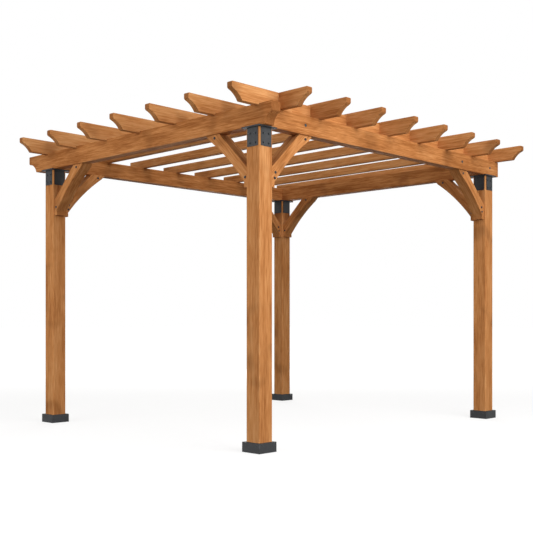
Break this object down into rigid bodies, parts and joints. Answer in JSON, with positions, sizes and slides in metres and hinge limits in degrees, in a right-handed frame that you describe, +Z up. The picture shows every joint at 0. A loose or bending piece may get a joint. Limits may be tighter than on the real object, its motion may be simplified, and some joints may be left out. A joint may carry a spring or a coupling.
{
  "type": "wooden pergola",
  "caption": "Open timber pergola: square posts on black steel bases, knee-braced beams and a flat roof of spaced rafters with shaped ends and short front tails.",
  "frame": {"origin": "bottom centre of the box around the whole frame, on the floor", "axes": "+Z up; +X to the right along the front; +Y from the front, where the short tails are, to the back"},
  "size_m": [3.02, 3.211, 2.337],
  "materials": {
    "post_wood": "stained softwood, satin",
    "brace_wood": "stained softwood, satin",
    "rafter_wood": "stained softwood, satin",
    "tail_wood": "stained softwood, satin",
    "beam_wood": "stained softwood, satin",
    "bracket_steel": "black powder coat",
    "base_steel": "black powder coat"
  },
  "bodies": {
    "root": {"back_beam": "beam_wood", "back_brace_left": "brace_wood", "back_brace_right": "brace_wood", "back_left_post": "post_wood", "back_left_post_base": "base_steel", "back_left_post_bracket": "bracket_steel", "back_right_post": "post_wood", "back_right_post_base": "base_steel", "back_right_post_bracket": "bracket_steel", "front_beam": "beam_wood", "front_brace_left": "brace_wood", "front_brace_right": "brace_wood", "front_left_post": "post_wood", "front_left_post_base": "base_steel", "front_left_post_bracket": "bracket_steel", "front_right_post": "post_wood", "front_right_post_base": "base_steel", "front_right_post_bracket": "bracket_steel", "front_tail_1": "tail_wood", "front_tail_2": "tail_wood", "front_tail_3": "tail_wood", "front_tail_4": "tail_wood", "front_tail_5": "tail_wood", "front_tail_6": "tail_wood", "front_tail_7": "tail_wood", "left_beam": "beam_wood", "left_brace_back": "brace_wood", "left_brace_front": "brace_wood", "rafter_1": "rafter_wood", "rafter_2": "rafter_wood", "rafter_3": "rafter_wood", "rafter_4": "rafter_wood", "rafter_5": "rafter_wood", "rafter_6": "rafter_wood", "rafter_7": "rafter_wood", "rafter_8": "rafter_wood", "right_beam": "beam_wood", "right_blocking": "rafter_wood", "right_brace_back": "brace_wood", "right_brace_front": "brace_wood"}
  },
  "joints": []
}
